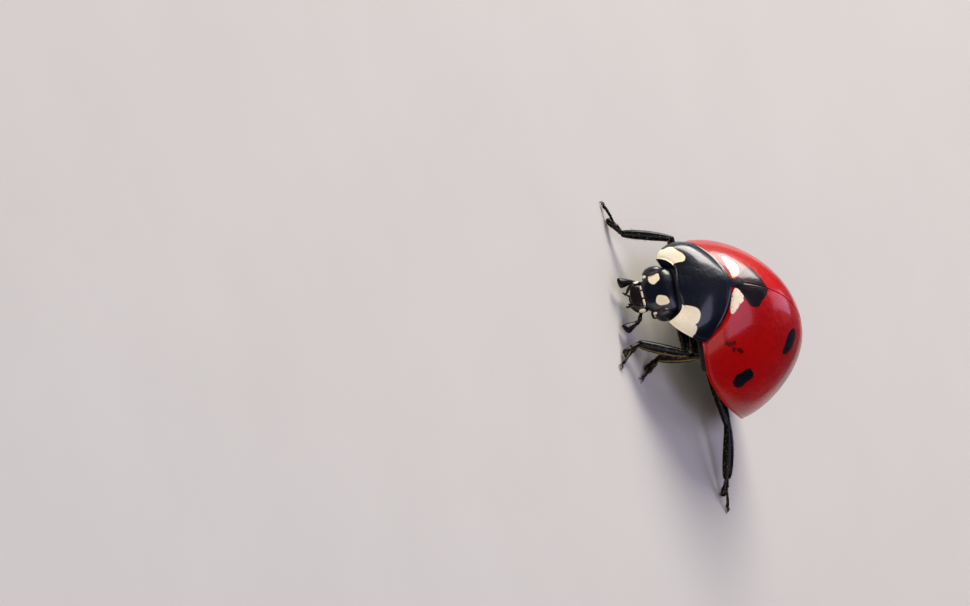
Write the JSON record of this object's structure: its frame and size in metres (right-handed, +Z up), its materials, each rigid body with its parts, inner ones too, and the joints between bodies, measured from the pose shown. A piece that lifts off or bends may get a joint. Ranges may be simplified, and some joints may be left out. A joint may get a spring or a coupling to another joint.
{
  "type": "ladybird model",
  "caption": "Life-size still model of a seven-spot ladybird standing with its head turned down and to the left, red wing cases with black spots.",
  "frame": {"origin": "centre of the model's outline seen from above, on the floor plane under its feet", "axes": "+Z up, -Y the way the beetle faces, +X its left side"},
  "size_m": [0.0088, 0.009, 0.0041],
  "materials": {
    "red_elytron": "gloss",
    "black_cuticle": "gloss",
    "brown_cuticle": "satin",
    "eye": "satin"
  },
  "bodies": {
    "root": {"head": "black_cuticle", "labrum": "brown_cuticle", "labium": "brown_cuticle", "eye_left": "eye", "mandible_left": "brown_cuticle", "palp_left": "black_cuticle", "antenna_left": "brown_cuticle", "eye_right": "eye", "mandible_right": "brown_cuticle", "palp_right": "black_cuticle", "antenna_right": "brown_cuticle", "pronotum": "black_cuticle", "prosternum": "black_cuticle", "scutellum": "black_cuticle", "elytron_left": "red_elytron", "elytron_right": "red_elytron", "thorax": "black_cuticle", "abdomen": "black_cuticle", "front_left_coxa": "black_cuticle", "front_left_femur": "black_cuticle", "front_left_tibia": "black_cuticle", "front_left_tarsus": "black_cuticle", "front_right_coxa": "black_cuticle", "front_right_femur": "black_cuticle", "front_right_tibia": "black_cuticle", "front_right_tarsus": "black_cuticle", "middle_left_coxa": "black_cuticle", "middle_left_femur": "black_cuticle", "middle_left_tibia": "black_cuticle", "middle_left_tarsus": "black_cuticle", "middle_right_coxa": "black_cuticle", "middle_right_femur": "black_cuticle", "middle_right_tibia": "black_cuticle", "middle_right_tarsus": "black_cuticle", "hind_left_coxa": "black_cuticle", "hind_left_femur": "black_cuticle", "hind_left_tibia": "black_cuticle", "hind_left_tarsus": "black_cuticle", "hind_right_coxa": "black_cuticle", "hind_right_femur": "black_cuticle", "hind_right_tibia": "black_cuticle", "hind_right_tarsus": "black_cuticle"}
  },
  "joints": []
}
